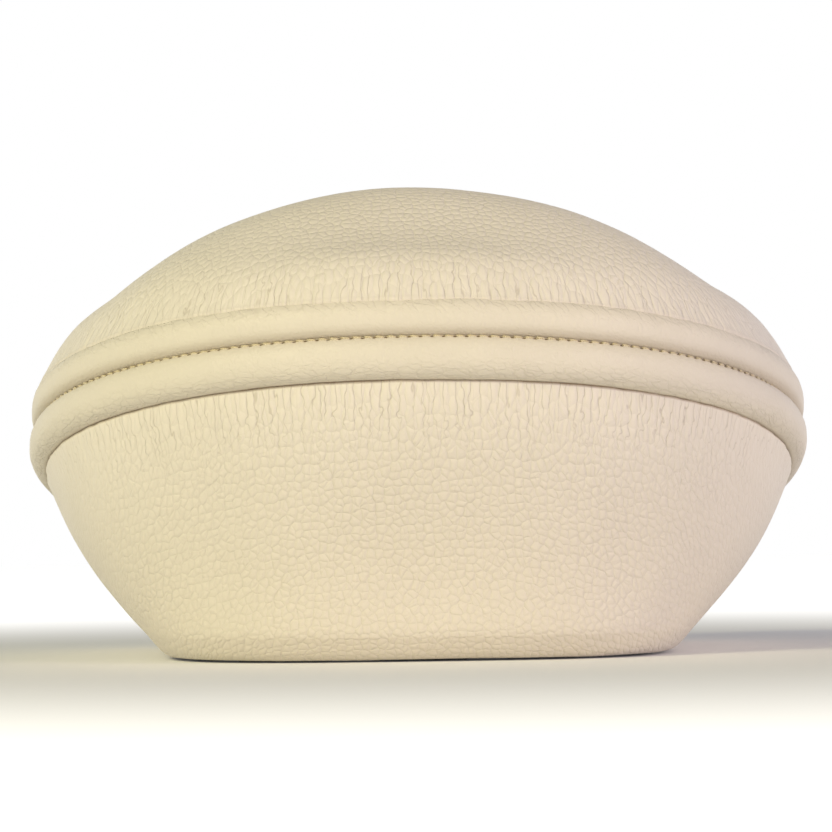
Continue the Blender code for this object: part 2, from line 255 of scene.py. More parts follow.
SEAM, SPINE = horseshoe(
    SEAM_HALF_WIDTH,
    ARM_CLOSING,
    OPENING_HALF_WIDTH,
    -SEAM_HALF_LENGTH,
    SEAM_HALF_LENGTH,
    SEAM_SQUARENESS,
)
BASE, BASE_SPINE = horseshoe(
    BOARD_HIGH.x + BOARD_INSET,
    0,
    BASE_OPENING_HALF_WIDTH,
    BOARD_LOW.y - BOARD_INSET,
    BOARD_HIGH.y + BOARD_INSET,
    BASE_SQUARENESS,
)


def evenly(loop, count):
    """The loop at count even steps, and its whole length."""
    closed = np.concatenate([loop, loop[:1]])
    reach = np.concatenate([[0], np.cumsum(np.linalg.norm(np.diff(closed, axis=0), axis=1))])
    at = np.linspace(0, reach[-1], count, endpoint=False)
    return np.column_stack([np.interp(at, reach, closed[:, k]) for k in (0, 1)]), reach[-1]


ROLL_LINE, SEAM_LENGTH = evenly(SEAM, ROLL_STATIONS)
SEAM_REACH = np.concatenate([[0], np.cumsum(np.linalg.norm(np.diff(SEAM, axis=0), axis=1))])
STITCHES = round(SEAM_LENGTH / STITCH_PITCH)


def out_from(loop, distance):
    """The loop moved out by distance, away from its band's middle."""
    along = unit(np.roll(loop, -1, axis=0) - np.roll(loop, 1, axis=0))
    return loop + np.column_stack([along[:, 1], -along[:, 0]]) * np.reshape(distance, (-1, 1))


def seam_z(y):
    return SEAM_FRONT_Z - SEAM_SLOPE * (y + SEAM_HALF_LENGTH)


def row(loop, z):
    return np.column_stack([loop, np.broadcast_to(z, len(loop))])


def seam_row(loop, distance, height):
    """A row that far out from the seam line and that far above it."""
    return row(out_from(loop, distance), seam_z(loop[:, 1]) + height)


def dome_row(share):
    """A row of the top, at this share of the way out from the band's middle to its edge."""
    x, y = (SPINE + (SEAM - SPINE) * share).T
    rise = DOME_RISE * (1 - ARM_DROP * smooth(y, *ARM_DROP_Y))
    width = np.clip(1 - ((x - CROWN_MIDDLE) / CROWN_HALF_WIDTH) ** 2, 0, 1) ** CROWN_POWER
    rise = rise + CROWN_RISE * width * smooth(y, *CROWN_FRONT) * (1 - smooth(y, *CROWN_REAR))
    height = DOME_EDGE_Z + rise * (1 - share**DOME_POWER) ** DOME_ROUND
    puff = PUFF * np.exp((DOME_EDGE_Z - height) / PUFF_HEIGHT) * smooth(share, 0, PUFF_FULL)
    return row(SPINE + (out_from(SEAM, puff) - SPINE) * share, seam_z(y) + height)


def cover_rows():
    """Outer face of the top cover, from behind the upper roll to the band's middle."""
    shares = 1 - np.linspace(0, 1, DOME_STEPS) ** DOME_CROWDING
    return [seam_row(SEAM, out, up) for out, up in COVER_TUCK] + [dome_row(share) for share in shares]


def wall_rows():
    """Outer face of the side panel, from its lower edge up to the seam."""
    top_z = seam_z(SEAM[:, 1]) + PANEL_TOP_Z
    side = smooth(np.abs(SEAM[:, 0]) / SEAM_HALF_WIDTH, *TAPER_BLEND)
    front = np.where(SEAM[:, 1] < -OPENING_ROUND_Y, 1 - side, 0)
    rows = []
    for down in np.linspace(1, 0, WALL_STEPS) ** WALL_CROWDING:
        side_taper = SIDE_TAPER[0] * down + SIDE_TAPER[1] * down**2
        taper = smooth(down, *FRONT_TAPER) * front + side_taper * (1 - front)
        line = SEAM + (BASE - SEAM) * taper[:, None]
        line = out_from(line, PANEL_PUFF * (1 - down) ** PANEL_PUFF_POWER)
        rows.append(row(line, top_z + (EDGE_TOP_Z - top_z) * down))
    return rows


def panel_rows():
    """The side panel, from the flange under the board up to behind the lower roll."""
    rows = [row(out_from(BASE, -inset), z) for inset, z in FLANGE]
    for at in np.linspace(0, 1, EDGE_ROWS, endpoint=False):
        shares = ((1 - at) ** 3, 3 * at * (1 - at) ** 2, 3 * at**2 * (1 - at), at**3)
        inset, z = shares @ np.array(EDGE_CURVE)
        rows.append(row(out_from(BASE, -inset), z))
    return rows + wall_rows() + [seam_row(SEAM, out, up) for out, up in reversed(PANEL_TUCK)]


def roll_rows(roll, shrink=0.0):
    """Section of a roll, round from its inner side, down, out and over."""
    half_width, centre, above, below = roll
    rows = []
    for step in range(ROLL_SIDES):
        turn = tau * step / ROLL_SIDES
        half_height, squareness = above if sin(turn) < 0 else below
        power = 2 / squareness
        out = -(half_width - shrink) * np.sign(cos(turn)) * abs(cos(turn)) ** power
        up = -(half_height - shrink) * np.sign(sin(turn)) * abs(sin(turn)) ** power
        rows.append((out, centre + up))
    return rows


def outward(grid):
    """Unit normals of a grid whose columns follow the outline and whose rows go up its outer side."""
    along = np.roll(grid, -1, axis=1) - np.roll(grid, 1, axis=1)
    return unit(np.cross(along, np.gradient(grid, axis=0)))


def ripple(points, scale, seed):
    """Smooth noise, about -1 to 1, at these points. scale is its size in metres."""
    scaled = (points / scale + seed).reshape(-1, 3)
    return np.array([noise.noise(point) for point in scaled]).reshape(points.shape[:-1])


def uneven(points, layers):
    """How far each point is pushed by these layers of unevenness."""
    return sum(height * ripple(points, scale, seed) for height, scale, seed in layers)


def apart(grid):
    """How far each point of the grid is from its first row, along its column."""
    steps = np.linalg.norm(np.diff(grid, axis=0), axis=2)
    return np.concatenate([np.zeros_like(steps[:1]), np.cumsum(steps, axis=0)])


def with_ends(values, closed):
    """A grid's values with its first column doubled, and its first row too where it is closed."""
    if closed:
        values = np.concatenate([values, values[:1]])
    values = np.concatenate([values, values[:, :1]], axis=1)
    return values.reshape(-1).astype(np.float32)


def wrap(name, grid, closed=False, notes=(), thickness=0.0):
    """A flat grid laid round the outline, welded where its ends meet.

    Its columns follow the stations and its rows go up. notes are numbers or vectors kept on the points
    for the material. An open sheet gets its thickness inwards.
    """
    rows, columns = grid.shape[:2]
    bpy.ops.object.select_all(action="DESELECT")
    bpy.ops.mesh.primitive_grid_add(x_subdivisions=columns, y_subdivisions=rows - (not closed), size=1)
    piece = bpy.context.object
    piece.name = piece.data.name = name
    piece.data.vertices.foreach_set("co", with_ends(grid, closed))
    for label, values in dict(notes).items():
        kind, field = ("FLOAT", "value") if values.ndim == 2 else ("FLOAT_VECTOR", "vector")
        piece.data.attributes.new(label, kind, "POINT").data.foreach_set(field, with_ends(values, closed))
    bpy.ops.object.mode_set(mode="EDIT")
    bpy.ops.mesh.select_all(action="SELECT")
    bpy.ops.mesh.remove_doubles(threshold=WELD)
    bpy.ops.object.mode_set(mode="OBJECT")
    if thickness:
        wall = piece.modifiers.new("leather", "SOLIDIFY")
        wall.thickness = thickness
        wall.offset = -1
        bpy.ops.object.modifier_apply(modifier=wall.name)
    bpy.ops.object.shade_smooth()
    return piece


# Materials


def linear(code):
    """An sRGB hex colour as linear red, green, blue and alpha."""
    parts = [int(code[at : at + 2], 16) / 255 for at in (1, 3, 5)]
    return [c / 12.92 if c <= 0.04045 else ((c + 0.055) / 1.055) ** 2.4 for c in parts] + [1.0]


def new_material(name):
    made = bpy.data.materials.new(name)
    made.use_nodes = True
    return made, made.node_tree, made.node_tree.nodes["Principled BSDF"]


def set_inputs(tree, node, inputs):
    """Gives sockets of a node a value each, or a link."""
    for socket, value in dict(inputs).items():
        if isinstance(value, bpy.types.NodeSocket):
            tree.links.new(value, node.inputs[socket])
        else:
            node.inputs[socket].default_value = value


def add(tree, kind, inputs=(), output=0, **settings):
    """Adds a node with its settings, values and links, and gives its output.

    A MapRange takes its value at 0, the range it comes from at 1 and 2, and the one it goes to at 3 and
    4. A colour Mix takes its share at 0 and its colours at 6 and 7, and gives its colour at 2.
    """
    made = tree.nodes.new("ShaderNode" + kind)
    for key, value in settings.items():
        setattr(made, key, value)
    set_inputs(tree, made, inputs)
    return made.outputs[output]


def strayed(tree, place, scale, detail, reach):
    """The place pushed about by a noise, so that a pattern on it isn't regular."""
    push = add(tree, "TexNoise", {"Vector": place, "Scale": scale, "Detail": detail}, "Color")
    push = add(tree, "VectorMath", {0: push, 1: (0.5, 0.5, 0.5)}, operation="SUBTRACT")
    push = add(tree, "VectorMath", {0: push, "Scale": reach}, operation="SCALE")
    return add(tree, "VectorMath", {0: place, 1: push})


def finish_leather(tree, shader, height, dark, patch, tones, relief):
    """Colour, gloss and relief that all the leather shares: full-grain cowhide, drum-dyed, satin.

    Its pigment gathers in the splits of the grain, and the same dark colour is painted shade in the folds at
    the seams, where the rolls meet, and in the needle holes. The hide is uneven in tone, between the two
    tones. relief is the height in metres that the height 1 stands for.
    """
    deep, pale = tones
    warm = add(tree, "Mix", {0: patch, 6: linear(deep), 7: linear(pale)}, 2, data_type="RGBA")
    tone = add(tree, "Mix", {0: dark, 6: warm, 7: linear(PIGMENT_AND_SHADE)}, 2, data_type="RGBA")
    rough = add(tree, "MapRange", {0: dark, 1: 0.0, 2: 0.5, 3: 0.47, 4: 0.72})
    bump = add(tree, "Bump", {"Height": height, "Strength": 1.0, "Distance": relief})
    set_inputs(tree, shader, {"Base Color": tone, "Roughness": rough, "Normal": bump})
    set_inputs(tree, shader, {"IOR": 1.45, "Specular IOR Level": 0.35})
    set_inputs(tree, shader, {"Sheen Weight": 0.06, "Sheen Roughness": 0.5})


def pebbled_leather(name, vein_lean):
    """Drum-milled cowhide: soft rounded pebbles 3 mm across, split by a net of fine creases.

    hide is the place on the flat hide, in metres, drawn out beside a seam. along is how far round the
    outline it is. loose is 1 where the hide lies easy and less where it is pulled tight, pleat is 1 at a
    seam, and the fourth note is how dark the painted shade is in the fold at the seam. The pores are 0.4 mm
    across, coarser than real ones, so that they show, and the patches of tone are 45 mm across.
    """
    made, tree, shader = new_material(name)
    hide = add(tree, "Attribute", attribute_name="hide", output="Vector")
    along, loose, pleat, painted_shade = [
        add(tree, "Attribute", attribute_name=label, output="Fac")
        for label in ("along", "loose", "pleat", "painted_shade")
    ]
    place = strayed(tree, hide, 300.0, 1.0, 0.0013)
    cells = {"Vector": place, "Scale": 1 / PEBBLE, "Randomness": 0.80}
    edge = add(tree, "TexVoronoi", cells, feature="DISTANCE_TO_EDGE", voronoi_dimensions="2D")
    bulk = add(tree, "TexVoronoi", cells, voronoi_dimensions="2D")
    small = add(tree, "TexVoronoi", {"Vector": place, "Scale": 2.1 / PEBBLE}, voronoi_dimensions="2D")
    lean = {"Vector": place, "Rotation": (0, 0, vein_lean), "Scale": (0.0120, 0.0058, 1)}
    lean = add(tree, "Mapping", lean, vector_type="TEXTURE")
    vein = add(tree, "TexVoronoi", {"Vector": lean, "Scale": 1.0}, feature="DISTANCE_TO_EDGE",
               voronoi_dimensions="2D")
    stray = add(tree, "TexNoise", {"Vector": hide, "Scale": 360.0, "Detail": 1.0})
    pores = add(tree, "TexNoise", {"Vector": hide, "Scale": 2400.0, "Detail": 2.0})
    patch = add(tree, "TexNoise", {"Vector": hide, "Scale": 22.0, "Detail": 2.0})
    worn = add(tree, "TexNoise", {"Vector": hide, "Scale": 90.0, "Detail": 1.0})
    worn = add(tree, "MapRange", {0: worn, 1: 0.30, 2: 0.65, 3: 0.35, 4: 1.0})

    # Each pebble is round-shouldered: it rises from the split round it, and a little more to its middle
    rise = add(tree, "MapRange", {0: edge, 1: 0.0, 2: 0.40, 3: 1.0, 4: 0.0})
    rise = add(tree, "Math", {0: rise, 1: rise}, operation="MULTIPLY")
    dome = add(tree, "Math", {0: bulk, 1: bulk}, operation="MULTIPLY")
    bead = add(tree, "Math", {0: small, 1: small}, operation="MULTIPLY")
    height = add(tree, "Math", {0: bead, 1: -0.14}, operation="MULTIPLY")
    height = add(tree, "Math", {0: dome, 1: -0.90, 2: height}, operation="MULTIPLY_ADD")
    height = add(tree, "Math", {0: rise, 1: -0.55, 2: height}, operation="MULTIPLY_ADD")
    height = add(tree, "Math", {0: height, 1: loose}, operation="MULTIPLY")
    line = add(tree, "MapRange", {0: vein, 1: 0.0, 2: 0.040}, interpolation_type="SMOOTHSTEP")
    height = add(tree, "Math", {0: line, 1: 0.14, 2: height}, operation="MULTIPLY_ADD")
    height = add(tree, "Math", {0: pores, 1: 0.06, 2: height}, operation="MULTIPLY_ADD")

    # Pleats run away from the seam side by side, wavering, and each fades out at its own distance
    turn = add(tree, "Math", {0: along, 1: 1 / PLEAT_PITCH, 2: stray}, operation="MULTIPLY_ADD")
    turn = add(tree, "Math", {0: stray, 1: 0.6, 2: turn}, operation="MULTIPLY_ADD")
    fold = add(tree, "TexVoronoi", {"W": turn, "Scale": 1.0}, feature="DISTANCE_TO_EDGE",
               voronoi_dimensions="1D")
    fold = add(tree, "MapRange", {0: fold, 1: 0.0, 2: 0.085, 3: 1.0, 4: 0.0},
               interpolation_type="SMOOTHSTEP")
    shown = add(tree, "Math", {0: pleat, 1: worn}, operation="MULTIPLY")
    shown = add(tree, "MapRange", {0: shown, 1: 0.06, 2: 0.50})
    fold = add(tree, "Math", {0: fold, 1: shown}, operation="MULTIPLY")
    height = add(tree, "Math", {0: fold, 1: -0.40, 2: height}, operation="MULTIPLY_ADD")

    # Pigment in the splits: faint where the hide lies flat, and most in the pleats
    split = add(tree, "MapRange", {0: edge, 1: 0.0, 2: 0.050, 3: 1.0, 4: 0.0},
                interpolation_type="SMOOTHSTEP")
    split = add(tree, "Math", {0: split, 1: 0.03}, operation="MULTIPLY")
    thin = add(tree, "Math", {0: 1.0, 1: line}, operation="SUBTRACT")
    thin = add(tree, "Math", {0: thin, 1: 0.06}, operation="MULTIPLY")
    dark = add(tree, "Math", {0: split, 1: thin}, operation="MAXIMUM")
    dark = add(tree, "Math", {0: dark, 1: worn}, operation="MULTIPLY")
    dark = add(tree, "Math", {0: fold, 1: 0.25, 2: dark}, operation="MULTIPLY_ADD")
    dark = add(tree, "Math", {0: dark, 1: loose}, operation="MULTIPLY")
    # Painted shade in the fold at the seam, beside the roll
    dark = add(tree, "Math", {0: dark, 1: painted_shade}, operation="MAXIMUM")
    finish_leather(tree, shader, height, dark, patch, HIDE_TONES, PEBBLE_RELIEF)
    return made


def roll_leather(name, roll, folds, needled_at):
    """The same cowhide pulled tight round a cord, so its pebbles are flat and its face is smooth.

    Fine folds are left along one edge of the roll. needled_at is where round the roll the needle holes
    are, as a share, or None. There is one at each end of a stitch.
    """
    fold_at, (fold_lean, fold_length, fold_width) = folds
    girth = pi * (roll[0] + roll[2][0])
    made, tree, shader = new_material(name)
    round_it = add(tree, "UVMap", uv_map="UVMap")
    place = add(tree, "VectorMath", {0: round_it, 1: (SEAM_LENGTH, girth, 0)}, operation="MULTIPLY")
    turned = add(tree, "SeparateXYZ", {0: round_it}, "Y")
    painted_shade = add(tree, "Attribute", attribute_name="painted_shade", output="Fac")
    bent = strayed(tree, place, 260.0, 2.0, 0.0030)
    lean = {"Vector": bent, "Rotation": (0, 0, fold_lean), "Scale": (fold_length, fold_width, 1)}
    lean = add(tree, "Mapping", lean, vector_type="TEXTURE")
    fold = add(tree, "TexVoronoi", {"Vector": lean, "Scale": 1.0}, feature="DISTANCE_TO_EDGE")
    grain = add(tree, "TexVoronoi", {"Vector": bent, "Scale": 1.5 / PEBBLE}, feature="DISTANCE_TO_EDGE")
    pores = add(tree, "TexNoise", {"Vector": place, "Scale": 2600.0, "Detail": 2.0})
    patch = add(tree, "TexNoise", {"Vector": place, "Scale": 30.0, "Detail": 2.0})

    away = add(tree, "Math", {0: turned, 1: fold_at}, operation="SUBTRACT")
    away = add(tree, "Math", {0: away}, operation="ABSOLUTE")
    near = add(tree, "MapRange", {0: away, 1: 0.02, 2: 0.19, 3: 1.0, 4: 0.0})
    line = add(tree, "MapRange", {0: fold, 1: 0.0, 2: 0.10, 3: 1.0, 4: 0.0}, interpolation_type="SMOOTHSTEP")
    line = add(tree, "Math", {0: line, 1: near}, operation="MULTIPLY")
    soft = add(tree, "MapRange", {0: grain, 1: 0.0, 2: 0.30}, interpolation_type="SMOOTHSTEP")
    height = add(tree, "Math", {0: soft, 1: 0.26}, operation="MULTIPLY")
    height = add(tree, "Math", {0: line, 1: -0.60, 2: height}, operation="MULTIPLY_ADD")
    height = add(tree, "Math", {0: pores, 1: 0.10, 2: height}, operation="MULTIPLY_ADD")
    dark = add(tree, "Math", {0: line, 1: 0.08}, operation="MULTIPLY")
    # Painted shade under the roll and where it meets its neighbours
    dark = add(tree, "Math", {0: dark, 1: painted_shade}, operation="MAXIMUM")
    # Each needle hole is a shallow dent with painted shade in it
    if needled_at is not None:
        number = add(tree, "SeparateXYZ", {0: round_it}, "X")
        number = add(tree, "Math", {0: number, 1: STITCHES, 2: 0.5}, operation="MULTIPLY_ADD")
        number = add(tree, "Math", {0: number}, operation="FRACT")
        off = add(tree, "Math", {0: number, 1: 0.5}, operation="SUBTRACT")
        off = add(tree, "Math", {0: off, 1: STITCH_PITCH / NEEDLE_HOLE}, operation="MULTIPLY")
        side = add(tree, "Math", {0: turned, 1: needled_at}, operation="SUBTRACT")
        side = add(tree, "Math", {0: side, 1: girth / NEEDLE_HOLE}, operation="MULTIPLY")
        far = add(tree, "CombineXYZ", {0: off, 1: side})
        far = add(tree, "VectorMath", {0: far}, "Value", operation="LENGTH")
        hole = add(tree, "MapRange", {0: far, 1: 0.35, 2: 1.0, 3: 1.0, 4: 0.0})
        height = add(tree, "Math", {0: hole, 1: -1.5, 2: height}, operation="MULTIPLY_ADD")
        dark = add(tree, "Math", {0: hole, 1: 1.3, 2: dark}, operation="MULTIPLY_ADD")
    finish_leather(tree, shader, height, dark, patch, ROLL_SHADED_TONES, ROLL_RELIEF)
    return made


def bonded_thread():
    """Bonded polyester thread, three plies twisted and waxed: a soft line highlight along each stitch."""
    made, tree, shader = new_material("bonded_polyester_thread")
    spot = add(tree, "TexCoord", output="Object")
    plies = add(tree, "TexWave", {"Vector": spot, "Scale": 900.0, "Distortion": 1.5}, "Fac",
                bands_direction="DIAGONAL")
    tone = add(tree, "Mix", {0: plies, 6: linear("#c9b88f"), 7: linear("#e2d5b3")}, 2, data_type="RGBA")
    bump = add(tree, "Bump", {"Height": plies, "Distance": 0.0001})
    set_inputs(tree, shader, {"Base Color": tone, "Normal": bump, "Roughness": 0.5})
    return made


def open_cell_foam(name, light, shade, cell):
    """Polyurethane foam, cut from a block: matt, with open cells that show as fine specks.

    cell is their size in metres, coarser than real cells, so that they show.
    """
    made, tree, shader = new_material(name)
    spot = add(tree, "TexCoord", output="Object")
    cells = add(tree, "TexVoronoi", {"Vector": spot, "Scale": 1 / cell})
    tone = add(tree, "TexNoise", {"Vector": spot, "Scale": 40.0, "Detail": 3.0})
    pit = add(tree, "MapRange", {0: cells, 1: 0.1, 2: 0.7})
    tone = add(tree, "Math", {0: tone, 1: pit}, operation="MULTIPLY")
    tone = add(tree, "Mix", {0: tone, 6: linear(light), 7: linear(shade)}, 2, data_type="RGBA")
    bump = add(tree, "Bump", {"Height": cells, "Distance": 0.0004})
    set_inputs(tree, shader, {"Base Color": tone, "Normal": bump, "Roughness": 0.95})
    return made


def cotton_twill():
    """Unbleached cotton twill tape: matt, with a diagonal weave 1 mm apart."""
    made, tree, shader = new_material("cotton_twill")
    spot = add(tree, "TexCoord", output="Object")
    rib = add(tree, "TexWave", {"Vector": spot, "Scale": 320.0, "Distortion": 0.6}, "Fac",
              bands_direction="DIAGONAL")
    tone = add(tree, "Mix", {0: rib, 6: linear("#cfc6b0"), 7: linear("#e8e1cf")}, 2, data_type="RGBA")
    bump = add(tree, "Bump", {"Height": rib, "Distance": 0.0003})
    set_inputs(tree, shader, {"Base Color": tone, "Normal": bump, "Roughness": 0.9})
    return made


def birch_plywood():
    """Birch plywood, rotary cut and sanded: long pale grain on its faces, plies 1.5 mm thick on its edge."""
    made, tree, shader = new_material("birch_plywood")
    spot = add(tree, "TexCoord", output="Object")
    long = add(tree, "Mapping", {"Vector": spot, "Scale": (4.0, 60.0, 60.0)})
    grain = add(tree, "TexNoise", {"Vector": long, "Scale": 6.0, "Detail": 6.0, "Distortion": 0.8})
    plies = add(tree, "TexWave", {"Vector": spot, "Scale": 105.0}, "Fac", bands_direction="Z")
    streak = add(tree, "Math", {0: plies, 1: 0.45, 2: grain}, operation="MULTIPLY_ADD")
    tone = add(tree, "Mix", {0: streak, 6: linear("#b98f5b"), 7: linear("#e0c493")}, 2, data_type="RGBA")
    bump = add(tree, "Bump", {"Height": grain, "Distance": 0.0002})
    set_inputs(tree, shader, {"Base Color": tone, "Normal": bump, "Roughness": 0.65})
    return made


def loop_pile():
    """Brushed nylon loop pile, which holds hook tape: deep charcoal, matt, a curly nap 1 mm across."""
    made, tree, shader = new_material("brushed_nylon_loop")
    spot = add(tree, "TexCoord", output="Object")
    curls = add(tree, "TexVoronoi", {"Vector": spot, "Scale": 900.0, "Smoothness": 0.6}, feature="SMOOTH_F1")
    fluff = add(tree, "TexNoise", {"Vector": spot, "Scale": 1600.0, "Detail": 4.0, "Distortion": 1.2})
    pile = add(tree, "Math", {0: curls, 1: fluff}, operation="ADD")
    pile = add(tree, "MapRange", {0: pile, 1: 0.4, 2: 1.3})
    tone = add(tree, "Mix", {0: pile, 6: linear("#3b3b3e"), 7: linear("#141416")}, 2, data_type="RGBA")
    bump = add(tree, "Bump", {"Height": fluff, "Distance": 0.0006})
    set_inputs(tree, shader, {"Base Color": tone, "Normal": bump, "Roughness": 0.95, "Sheen Weight": 0.35})
    return made


def galvanised_steel():
    """Galvanised staple wire, drawn flat: a soft grey metal with a faint mottle."""
    made, tree, shader = new_material("galvanised_steel")
    spot = add(tree, "TexCoord", output="Object")
    mottle = add(tree, "TexNoise", {"Vector": spot, "Scale": 1500.0, "Detail": 3.0})
    tone = add(tree, "Mix", {0: mottle, 6: linear("#a9abae"), 7: linear("#cfd1d3")}, 2, data_type="RGBA")
    rough = add(tree, "MapRange", {0: mottle, 3: 0.28, 4: 0.48})
    set_inputs(tree, shader, {"Base Color": tone, "Roughness": rough, "Metallic": 1.0})
    return made


# Pieces


def hand_over(piece, material, node):
    """The piece takes its finish, rides on the body, and stands for its CAD node."""
    piece.data.materials.clear()
    piece.data.materials.append(material)
    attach(piece, "root")
    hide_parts(node)


def on_hide(from_seam):
    """Distance from the seam on the flat hide: short close to the seam, so that the cells draw out there."""
    return from_seam - PLEAT_DRAW * PLEAT_REACH * (1 - np.exp(-from_seam / PLEAT_REACH))


def hide_notes(grid, place, from_seam, reach, painted_shade):
    """What the leather's material reads. reach is how far the pleats run, and the last number how dark the
    painted shade is in the fold at the seam.
    """
    across = np.abs(grid[..., 0]) / SEAM_HALF_WIDTH
    return {
        "hide": np.concatenate([place, np.zeros_like(place[..., :1])], axis=2),
        "along": np.broadcast_to(SEAM_REACH, from_seam.shape),
        "loose": 1 - TIGHTNESS * smooth(across, *TIGHT_SIDES),
        "pleat": np.exp(-from_seam / reach),
        # painted shade in the fold beside the roll
        "painted_shade": painted_shade * bell(from_seam, 0, CREASE_REACH),
    }


def worked(grid, from_seam, level_rows):
    """The leather as it lies on the foam: gently uneven, with small pleats drawn in beside the seam."""
    normals = outward(grid)
    normals[level_rows] = (0, 0, 1)
    seam = np.dstack([np.broadcast_to(SEAM, (*from_seam.shape, 2)), PLEAT_SLIP * from_seam])
    fade = np.exp(-from_seam / PLEAT_FADE) * (1 - smooth(from_seam, *PLEAT_END))
    lie = uneven(grid, LEATHER_LIE) + uneven(seam, PLEATS) * fade
    return grid + normals * lie[..., None]


def make_top_cover():
    grid = np.array(cover_rows())
    tuck = len(COVER_TUCK)
    from_seam = np.maximum(apart(grid) - apart(grid)[tuck], 0)
    grid = worked(grid, from_seam, -1)
    up = on_hide(from_seam)
    place = SPINE + unit(SEAM - SPINE) * (up[-1] - up)[..., None]
    notes = hide_notes(grid, place, from_seam, reach=0.014, painted_shade=0.11)
    piece = wrap("top_cover_leather", grid, notes=notes, thickness=LEATHER_T)
    finish = pebbled_leather("top_leather", vein_lean=radians(66))
    hand_over(piece, finish, "top_cover")


def make_side_panel():
    grid = np.array(panel_rows())
    reach = apart(grid[::-1])[::-1]
    from_seam = np.maximum(reach - reach[-len(PANEL_TUCK)], 0)
    grid = worked(grid, from_seam, slice(0, len(FLANGE)))
    steps = np.linalg.norm(np.diff(grid, axis=1, prepend=grid[:, :1]), axis=2)
    along = np.cumsum(steps, axis=1)
    along -= along[:, [np.argmin(SEAM[:, 1])]]
    place = np.stack([along, on_hide(from_seam)], axis=2)
    notes = hide_notes(grid, place, from_seam, reach=0.020, painted_shade=0.90)
    piece = wrap("side_panel_leather", grid, notes=notes, thickness=LEATHER_T)
    finish = pebbled_leather("side_leather", vein_lean=radians(-58))
    hand_over(piece, finish, "side_panel")


def stitch_turn():
    """Where the thread lies round the lower roll, as an angle from its inner side."""
    half_width, _, (_, squareness), _ = LOWER_ROLL
    return pi + acos((STITCH_OUT / half_width) ** (squareness / 2))


def make_roll(name, roll, folds, painted_shades, stitched=False):
    """A leather wrap pulled round its cord."""
    turns = tau * np.arange(ROLL_SIDES) / ROLL_SIDES
    grid = np.array([seam_row(ROLL_LINE, out, up) for out, up in roll_rows(roll)])
    middle = seam_row(ROLL_LINE, 0, roll[1])
    swell = uneven(grid, ROLL_LIE)
    needled_at = None
    if stitched:
        needled_at = stitch_turn() / tau
        number = np.arange(ROLL_STATIONS) / ROLL_STATIONS * STITCHES
        bite = 0.5 + 0.5 * np.cos(tau * number)
        swell -= STITCH_BITE * bell(turns, stitch_turn(), BITE_WIDTH)[:, None] * bite
    grid = grid + unit(grid - middle) * swell[..., None]
    # Painted shade under the roll and where it meets its neighbours
    shade = sum(dark * bell(turns, at, width) for dark, at, width in painted_shades)
    notes = {"painted_shade": np.broadcast_to(shade[:, None], grid.shape[:2])}
    piece = wrap(name + "_leather", grid, closed=True, notes=notes)
    finish = roll_leather(name + "_leather", roll, folds, needled_at)
    hand_over(piece, finish, name)


def make_cord(name, roll, finish):
    """The foam cord inside the roll of this name."""
    line, _ = evenly(SEAM, CORD_STATIONS)
    grid = np.array([seam_row(line, out, up) for out, up in roll_rows(roll, CORD_SHRINK)])
    hand_over(wrap(name + "_foam_cord", grid, closed=True), finish, name + "_cord")


def make_stitches():
    """Lockstitches along the top of the lower roll, each a short length of thread between two holes."""
    _, centre, (half_height, squareness), _ = LOWER_ROLL
    turn = stitch_turn() - pi
    height = centre + half_height * sin(turn) ** (2 / squareness)
    line, _ = evenly(SEAM, STITCHES)
    starts = seam_row(line, STITCH_OUT - STITCH_SUNK, height + STITCH_LIFT)
    ends = np.roll(starts, -1, axis=0)
    bpy.ops.object.select_all(action="DESELECT")
    bpy.ops.mesh.primitive_uv_sphere_add(segments=8, ring_count=7, radius=0.5)
    thread = bpy.context.object
    thread.scale = (STITCH_THICKNESS, STITCH_THICKNESS, STITCH_LENGTH)
    bpy.ops.object.transform_apply(scale=True)
    bpy.ops.object.shade_smooth()
    made = [thread]
    for _ in range(STITCHES - 1):
        copy = thread.copy()
        copy.data = thread.data.copy()
        bpy.context.collection.objects.link(copy)
        made.append(copy)
    for stitch, start, end in zip(made, starts, ends):
        lie = Vector(end - start).to_track_quat("Z", "Y").to_matrix().to_4x4()
        lean = Matrix.Rotation(STITCH_LEAN, 4, "X")
        stitch.data.transform(Matrix.Translation((start + end) / 2) @ lie @ lean)
        stitch.select_set(True)
    bpy.context.view_layer.objects.active = thread
    bpy.ops.object.join()
    thread.name = thread.data.name = "seam_stitches"
    hand_over(thread, bonded_thread(), "seam_thread")


def make_seam_tape():
    outer = TAPE_HIGH.x - SEAM_HALF_WIDTH
    inner = outer - TAPE_THICKNESS
    low, high = -TAPE_HALF_HEIGHT, TAPE_HALF_HEIGHT
    section = ((inner, low), (outer, low), (outer, high), (inner, high))
    grid = np.array([seam_row(SEAM, out, up) for out, up in section])
    hand_over(wrap("seam_twill_tape", grid, closed=True), cotton_twill(), "seam_tape")


